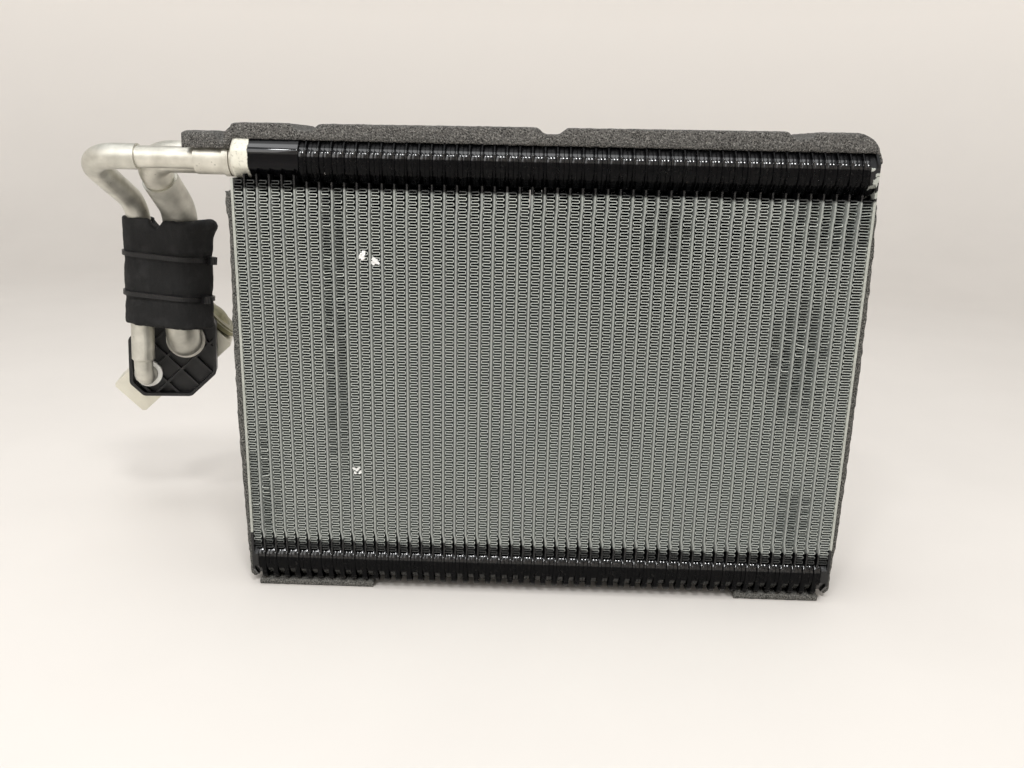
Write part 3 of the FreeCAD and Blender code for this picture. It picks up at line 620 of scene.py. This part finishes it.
def tank_rings(x, cup, lip, jitter):
    """Rings across one plate pair from left to right: cup, lip, cup."""
    half = [(d, tank_outline(*cup, inset + jitter, 6.0)) for d, inset in CUP_RINGS]
    half += [(d, tank_outline(*lip, inset, 1.2)) for d, inset in LIP_RINGS]
    both = [(-d, ring) for d, ring in half] + [(d, ring) for d, ring in half[::-1]]
    rings = []
    for d, ring in both:
        spread = TOOTH_SPREAD if abs(d) < 0.6 else 0.0
        rings.append([at(x + d * (1 + spread * (z < TOOTH_TOP)), y, z) for y, z in ring])
    return rings


def tube_rings(x, top):
    """Flat tube between the tanks, whose edges step sideways a little close to them."""
    levels = ((20.0, 0.7), (30.5, 0.7), (33.5, 0.0), (top - 12.0, 0.0), (top - 9.0, 0.35), (top + 2.0, 0.35))
    right = list(TUBE_HALF_SECTION) + [(d, -y) for d, y in TUBE_HALF_SECTION[::-1]]
    loop = [(-d, y) for d, y in right[::-1]] + right
    return [[at(x + d + step, y, z) for d, y in loop] for z, step in levels]


def finished_mesh(name, vertices, faces, crease):
    """Mesh with smooth surfaces, and sharp edges where it turns by more than the crease."""
    mesh = bpy.data.meshes.new(name)
    mesh.from_pydata(vertices, [], faces)
    mesh.validate()
    form = bmesh.new()
    form.from_mesh(mesh)
    bmesh.ops.recalc_face_normals(form, faces=form.faces)
    form.to_mesh(mesh)
    form.free()
    for polygon in mesh.polygons:
        polygon.use_smooth = True
    mesh.set_sharp_from_angle(angle=math.radians(crease))
    return mesh


def build_plates(finish):
    """Fifty plate pairs: flat tubes, with tank cups that are nearly flat between thin lips."""
    chance = random.Random(11)
    tubes = ([], [])
    tanks = ([], [])
    for index in range(TUBE_COUNT):
        x = tube_at(index)
        under_connector = index < CONNECTOR_TUBES
        top = CONNECTOR_BOTTOM if under_connector else UPPER_TANK_BOTTOM
        skin(tube_rings(x, top), *tubes)
        x += chance.uniform(-0.08, 0.08)
        jitter = chance.uniform(0.0, 0.12)
        lower_cup = (CORE_BOTTOM + 1.0, LOWER_TANK_TOP, 5.5, 7.0)
        lower_lip = (CORE_BOTTOM + 0.2, LOWER_TANK_TOP, 2.6, 6.6)
        skin(tank_rings(x, lower_cup, lower_lip, jitter), *tanks)
        if not under_connector:
            upper_cup = (UPPER_TANK_BOTTOM, CORE_TOP - 0.4, 7.0, 6.0)
            upper_lip = (UPPER_TANK_BOTTOM, CORE_TOP, 6.6, 5.4)
            skin(tank_rings(x, upper_cup, upper_lip, jitter), *tanks)
    piece = add_piece("flat_tubes", finished_mesh("tubes", *tubes, 35.0), finish)
    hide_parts("tube_elements")
    add_piece("tank_cups", finished_mesh("cups", *tanks, 50.0), tank_coat())


def build_connector(finish):
    """Smooth end of the upper tank with softened edges."""
    right = tube_at(CONNECTOR_TUBES - 1) + TUBE_PITCH / 2
    rings = []
    stations = ((0.05, 3.5), (0.05, 1.6), (0.35, 0.7), (1.0, 0.15), (2.0, 0.0))
    for distance, inset in stations:
        rings.append((CONNECTOR_LEFT + distance, inset))
    for distance, inset in stations[::-1]:
        rings.append((right - distance * 0.6, inset * 0.7))
    points = []
    for x, inset in rings:
        ring = tank_outline(CONNECTOR_BOTTOM, CORE_TOP, 5.5, 5.5, inset, 3.6)
        points.append([at(x, y, z) for y, z in ring])
    vertices = []
    faces = []
    skin(points, vertices, faces)
    size = len(points[0])
    faces.append(tuple(range(size))[::-1])
    faces.append(tuple(range(len(vertices) - size, len(vertices))))
    mesh = finished_mesh("header", vertices, faces, 45.0)
    piece = add_piece("header_shell", mesh, finish)
    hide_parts("header_connector")


# Folded fins; the bent patches are (x, z, half width, half height) of where they were knocked about
FOLD_PITCH = 1.35
FIN_THICKNESS = 0.34
FIN_BOTTOM = 22.0
TURN_INSET = 0.38
BENT_PATCHES = (
    (-105.3, 155.0, 4.0, 50.0),
    (56.0, 193.0, 6.0, 8.0),
    (125.8, 133.0, 8.0, 18.0),
    (-145.0, 52.0, 4.0, 22.0),
    (131.0, 46.0, 6.0, 10.0),
    (140.0, 202.0, 14.0, 9.0),
)


def bend_at(x, z):
    """How far the fins are knocked about at a place, from 0 to 1."""
    most = 0.0
    for px, pz, wide, tall in BENT_PATCHES:
        gone = ((x - px) / wide) ** 2 + ((z - pz) / tall) ** 2
        most = max(most, math.exp(-gone))
    return most


def fold_points(left, right, low, high, chance):
    """Line of one folded strip from bottom to top, as (x, z, setback), turning at the tube walls."""
    count = int((high - low) / FOLD_PITCH)
    pitch = (high - low) / count
    turn = pitch / 2
    points = []
    lean = 0.0
    for index in range(count):
        z = low + (index + 0.5) * pitch
        near, far = left + TURN_INSET, right - TURN_INSET
        ends = (near, far) if index % 2 == 0 else (far, near)
        outward = 1 if index % 2 == 0 else -1
        knock = bend_at((left + right) / 2, z)
        lean = 0.6 * lean + chance.uniform(-0.05, 0.05) + knock * chance.uniform(-0.45, 0.45)
        lean = max(-0.62, min(0.62, lean))
        setback = knock * chance.uniform(-0.1, 1.1)
        points.append((ends[0], z - lean * outward * 0.5, setback))
        points.append((ends[1], z + lean * outward * 0.5, setback))
        if index < count - 1:
            for angle in (-30, 30):
                a = math.radians(angle)
                x = ends[1] + outward * TURN_INSET * math.cos(a)
                points.append((x, z + turn + turn * math.sin(a), setback))
    return points


def fold_mesh(strips):
    """Solid ribbons along the folded lines, from the front face of the fins to the back."""
    vertices = []
    faces = []
    half = FIN_THICKNESS / 2
    for points in strips:
        start = len(vertices)
        last = len(points) - 1
        for index, (x, z, setback) in enumerate(points):
            before = points[max(index - 1, 0)]
            after = points[min(index + 1, last)]
            run = Vector((after[0] - before[0], after[1] - before[1])).normalized()
            side = Vector((-run.y, run.x)) * half
            back = -FIN_FRONT
            if z < LOWER_TANK_TOP:
                back = CORE_FRONT + z - TANK_SLOPE_START - 0.2
            for y, sign in ((FIN_FRONT + setback, 1), (FIN_FRONT + setback, -1), (back, -1), (back, 1)):
                vertices.append(at(x + sign * side.x, y, z + sign * side.y))
        for index in range(last):
            a = start + 4 * index
            b = a + 4
            for corner in range(4):
                after = (corner + 1) % 4
                faces.append((a + corner, a + after, b + after, b + corner))
        end = start + 4 * last
        faces.append((start + 3, start + 2, start + 1, start))
        faces.append((end, end + 1, end + 2, end + 3))
    mesh = bpy.data.meshes.new("folds")
    mesh.from_pydata(vertices, [], faces)
    mesh.validate()
    return mesh


def tube_at(index):
    return (index - (TUBE_COUNT - 1) / 2) * TUBE_PITCH


def build_fins(finish):
    chance = random.Random(7)
    half = TUBE_THICKNESS / 2
    strips = []
    for index in range(TUBE_COUNT + 1):
        left = LEFT_PLATE_X if index == 0 else tube_at(index - 1) + half
        right = RIGHT_PLATE_X if index == TUBE_COUNT else tube_at(index) - half
        top = CONNECTOR_BOTTOM if index < CONNECTOR_TUBES else UPPER_TANK_BOTTOM
        strips.append(fold_points(left + 0.14, right - 0.14, FIN_BOTTOM, top - 0.3, chance))
    bank = math.ceil(len(strips) / 4)
    for number in range(4):
        mesh = fold_mesh(strips[number * bank:(number + 1) * bank])
        piece = add_piece(f"folded_fins_{number + 1}", mesh, finish)
        if number == 0:
            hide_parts("air_fins")


# Crumpled spots where the fins were struck, painted near-white as a reflection of the bent metal
STRUCK_SPOTS = (
    (-90.2, 178.8, 3.0),
    (-84.4, 176.5, 2.6),
    (-95.7, 67.9, 2.8),
)


def foil_with_painted_glint():
    f = Finish("foil_with_painted_glint")
    crease = f.grain(0.9, 3.0)
    # Painted reflection: the flaps are near-white, far paler than the fin sheet, for the glint of bent metal.
    return f.done(
        Base_Color=f.mix(crease, colour(206, 208, 204), colour(250, 250, 248)),
        Metallic=0.35,
        Roughness=0.5 + 0.2 * crease,
        Normal=f.bump(crease, 0.3),
    )


def build_struck_spots(finish):
    """Flaps of fin folded forward and flattened."""
    chance = random.Random(3)
    mesh = bpy.data.meshes.new("flaps")
    form = bmesh.new()
    for x, z, size in STRUCK_SPOTS:
        for step in range(9):
            angle = chance.uniform(0, math.tau)
            reach = chance.uniform(0.1, 0.75) * size
            cx = x + reach * math.cos(angle)
            cz = z + reach * math.sin(angle)
            wide = chance.uniform(0.5, 1.2)
            tall = chance.uniform(0.4, 0.9)
            tilt = chance.uniform(-0.9, 0.9)
            corners = []
            for px, pz in ((-1, -1), (1, -1), (1, 1), (-1, 1)):
                dx = px * wide * math.cos(tilt) - pz * tall * math.sin(tilt)
                dz = px * wide * math.sin(tilt) + pz * tall * math.cos(tilt)
                y = CORE_FRONT + 0.35 + chance.uniform(-0.3, 0.45)
                corners.append((cx + dx, y, cz + dz))
            front = [form.verts.new(at(*corner)) for corner in corners]
            rear = [form.verts.new(at(cx0, y0 + 0.25, cz0)) for cx0, y0, cz0 in corners]
            form.faces.new(front)
            form.faces.new(rear[::-1])
            for k in range(4):
                n = (k + 1) % 4
                form.faces.new((front[n], front[k], rear[k], rear[n]))
    bmesh.ops.recalc_face_normals(form, faces=form.faces)
    form.to_mesh(mesh)
    form.free()
    add_piece("struck_fins", mesh, finish)


WRAP_TOP = 187.0
WRAP_BOTTOM = 127.0
TIE_HEIGHTS = (167.0, 144.5)
WRAP_MIDDLE_X = -221.0
WRAP_EDGE_X = -196.0


def wrap_pull(point):
    """Drawn in under the ties, slack between them, and flared at its ends, most at the upper right corner."""
    z = point.z / MM
    x = (point.x - core_middle_x) / MM
    tight = max(math.exp(-((z - height) / 3.0) ** 2) for height in TIE_HEIGHTS)
    top_flare = math.exp(-((z - WRAP_TOP) / 6.0) ** 2)
    low_flare = math.exp(-((z - WRAP_BOTTOM) / 4.0) ** 2)
    corner = max(0.0, (x - WRAP_MIDDLE_X) / (WRAP_EDGE_X - WRAP_MIDDLE_X)) ** 3
    return 1.2 * tight - 1.2 - 1.6 * top_flare * (0.4 + 3.1 * corner) - 0.8 * low_flare


def settle_top_seal(mesh):
    """Sinks the strip a little onto the cups, and lets its tab droop at the front and back over the neck."""
    for vertex in mesh.vertices:
        x = (vertex.co.x - core_middle_x) / MM
        y = abs(vertex.co.y) / MM
        z = vertex.co.z / MM
        if x > CONNECTOR_LEFT:
            vertex.co.z -= 1.3 * MM * max(0.0, 1.0 - max(0.0, z - CORE_TOP) / 3.0)
        elif z > 229.0:
            droop = max(0.0, (y - 9.0) / 13.0) ** 2
            ragged = noise.noise(vertex.co / (2.4 * MM))
            under = max(0.0, min(1.0, (236.5 - z) / 3.0))
            vertex.co.z -= (droop * (0.8 + 3.4 * under) + 0.8 * under * max(0.0, ragged) * (y > 14.0)) * MM


def build_foam():
    charcoal = open_cell_foam("charcoal_foam", colour(38, 37, 36), colour(96, 94, 91), 0.8)
    side = open_cell_foam("side_foam", colour(44, 44, 42), colour(100, 99, 95), 0.8)
    top = foam_piece("foam_top", "top_seal_foam", charcoal, voxel=1.05, rounds=1, size=3.5, depth=0.4)
    settle_top_seal(top.data)
    left_tear = torn_end(209.3, 12.0, 3.0, 2.0)
    right_tear = torn_end(210.0, 6.0, 3.0, 2.0)
    foam_piece("foam_left", "left_seal_foam", side, size=4.0, depth=0.8, tear=left_tear)
    foam_piece("foam_right", "right_seal_foam", side, size=4.0, depth=0.8, tear=right_tear)
    foam_piece("pad_left", "left_pad_foam", side, size=3.0, depth=0.4)
    foam_piece("pad_right", "right_pad_foam", side, size=3.0, depth=0.4)
    wrap = wrap_foam()
    foam_piece("pipe_wrap", "pipe_wrap_foam", wrap, voxel=0.9, rounds=3, size=5.0, depth=0.5, tear=wrap_pull)


def dress_solids():
    ends = end_sheet()
    dress("end_plate_left", ends)
    dress("end_plate_right", ends)
    dress("pipe_junction", satin_pipe("forged_junction", colour(222, 219, 208), colour(188, 185, 174)))
    dress("liquid_pipe", satin_pipe("thin_pipe", colour(216, 214, 204), colour(184, 182, 172)))
    dress("suction_pipe", satin_pipe("thick_pipe", colour(208, 206, 196), colour(174, 172, 163)))
    dress("valve_body", machined_block("valve_block", colour(232, 229, 214), colour(206, 203, 190)))
    dress("clamp_plate", machined_block("clamp_metal", colour(196, 194, 186), colour(160, 158, 150)))
    dress("adjusting_plug", machined_block("plug_metal", colour(206, 200, 170), colour(168, 162, 134), 0.3))
    dress("sensing_rod", machined_block("rod_metal", colour(206, 206, 204), colour(176, 176, 174), 0.3))
    dress("power_head_cup", passivated_steel("head_cup_plating", colour(140, 136, 106), colour(98, 96, 74)))
    dome = passivated_steel("head_dome_plating", colour(150, 146, 120), colour(112, 110, 88))
    dress("power_head_dome", dome)
    dress("diaphragm", passivated_steel("diaphragm_steel", colour(198, 196, 180), colour(152, 150, 134)))
    dress("clamp_screw", passivated_steel("screw_plating", colour(190, 190, 186), colour(140, 140, 136)))
    dress("metering_ball", passivated_steel("ball_steel", colour(200, 200, 200), colour(160, 160, 160)))
    dress("valve_spring", passivated_steel("spring_steel", colour(180, 180, 178), colour(130, 130, 128)))
    dress("valve_cover", moulded_plastic("cover_plastic", colour(8, 8, 9), colour(52, 52, 51)))
    dress("suction_collar", satin_pipe("collar_bead", colour(196, 194, 186), colour(150, 148, 141)))
    dress("port_washer", white_nylon())
    nylon = tie_nylon()
    dress("cable_tie_upper", nylon)
    dress("cable_tie_lower", nylon)
    rubber = seal_rubber()
    dress("liquid_seal", rubber)
    dress("suction_seal", rubber)


def build_camera():
    """Stands a little above the middle of the core and looks down at it, as in the photograph."""
    forward = Vector((-0.01633571, 0.96605403, -0.25782312))
    up = Vector((-0.02778925, 0.25731925, 0.96592679))
    right = forward.cross(up).normalized()
    up = right.cross(forward).normalized()
    back = -forward.normalized()
    turned = Matrix((right, up, back)).transposed().to_4x4()
    data = bpy.data.cameras.new("camera")
    data.sensor_fit = "HORIZONTAL"
    data.sensor_width = 36.0
    data.lens = 30.586
    data.clip_start = 0.02
    data.clip_end = 20.0
    data.dof.use_dof = False
    camera = bpy.data.objects.new("camera", data)
    camera.matrix_world = Matrix.Translation(at(-9.07, -452.6, 230.0)) @ turned
    bpy.context.scene.collection.objects.link(camera)
    bpy.context.scene.camera = camera


def build_stage():
    """Pale table that sweeps up all round into a pale wall."""
    profile = [(0.0, 0.0), (0.6, 0.0), (1.3, 0.0)]
    bend = 0.7
    for step in range(1, 9):
        angle = math.radians(step * 90 / 8)
        profile.append((1.3 + bend * math.sin(angle), bend - bend * math.cos(angle)))
    profile.append((1.3 + bend, 1.6))
    sides = 64
    form = bmesh.new()
    rings = []
    for radius, height in profile:
        if radius == 0.0:
            rings.append([form.verts.new((0.0, 0.0, 0.0))])
            continue
        ring = []
        for side in range(sides):
            angle = math.tau * side / sides
            ring.append(form.verts.new((radius * math.cos(angle), radius * math.sin(angle), height)))
        rings.append(ring)
    for inner, outer in zip(rings[:-1], rings[1:]):
        for side in range(sides):
            after = (side + 1) % sides
            if len(inner) == 1:
                form.faces.new((inner[0], outer[side], outer[after]))
            else:
                form.faces.new((inner[side], outer[side], outer[after], inner[after]))
    for face in form.faces:
        face.smooth = True
    mesh = bpy.data.meshes.new("table")
    form.to_mesh(mesh)
    form.free()
    f = Finish("pale_table")
    cloud = f.grain(120.0, 3.0)
    tone = f.mix(cloud, colour(222, 217, 211), colour(229, 224, 218))
    # Painted light: the wall is painted paler the higher it rises.
    tone = f.mix(f.z.above(300.0, 500.0), tone, colour(251, 246, 240))
    mesh.materials.append(f.done(Base_Color=tone, Roughness=0.62 + 0.1 * cloud, Specular_IOR_Level=0.3))
    table = bpy.data.objects.new("table", mesh)
    bpy.context.scene.collection.objects.link(table)


def soft_lamp(name, place, aim, wide, tall, power):
    data = bpy.data.lights.new(name, "AREA")
    data.shape = "RECTANGLE"
    data.size = wide
    data.size_y = tall
    data.energy = power
    lamp = bpy.data.objects.new(name, data)
    lamp.location = place
    lamp.rotation_euler = (aim - place).to_track_quat("-Z", "Y").to_euler()
    bpy.context.scene.collection.objects.link(lamp)


def build_light():
    """Plain soft light: a wide panel overhead, a weaker one in front, and the sky of the room."""
    aim = at(0.0, 0.0, 110.0)
    soft_lamp("overhead_panel", at(-120.0, -150.0, 1500.0), aim, 1.2, 0.8, 8.0)
    soft_lamp("ceiling_lamp_left", at(-420.0, -1000.0, 1400.0), aim, 0.18, 0.14, 3.5)
    soft_lamp("ceiling_lamp_right", at(300.0, -1000.0, 1400.0), aim, 0.28, 0.22, 9.0)
    soft_lamp("front_panel", at(-700.0, -1100.0, 900.0), aim, 0.9, 0.9, 6.0)
    world = bpy.data.worlds.new("room")
    bpy.context.scene.world = world
    world.use_nodes = True
    tree = world.node_tree
    tree.nodes.clear()
    sky = tree.nodes.new("ShaderNodeBackground")
    sky.inputs["Color"].default_value = (0.86, 0.88, 0.90, 1.0)
    sky.inputs["Strength"].default_value = 0.55
    output = tree.nodes.new("ShaderNodeOutputWorld")
    tree.links.new(sky.outputs[0], output.inputs["Surface"])


build_camera()
build_stage()
build_light()
dress_solids()
build_plates(core_sheet())
build_connector(connector_finish())
build_fins(fin_sheet())
build_struck_spots(foil_with_painted_glint())
build_foam()

bpy.context.scene.view_settings.view_transform = "Standard"
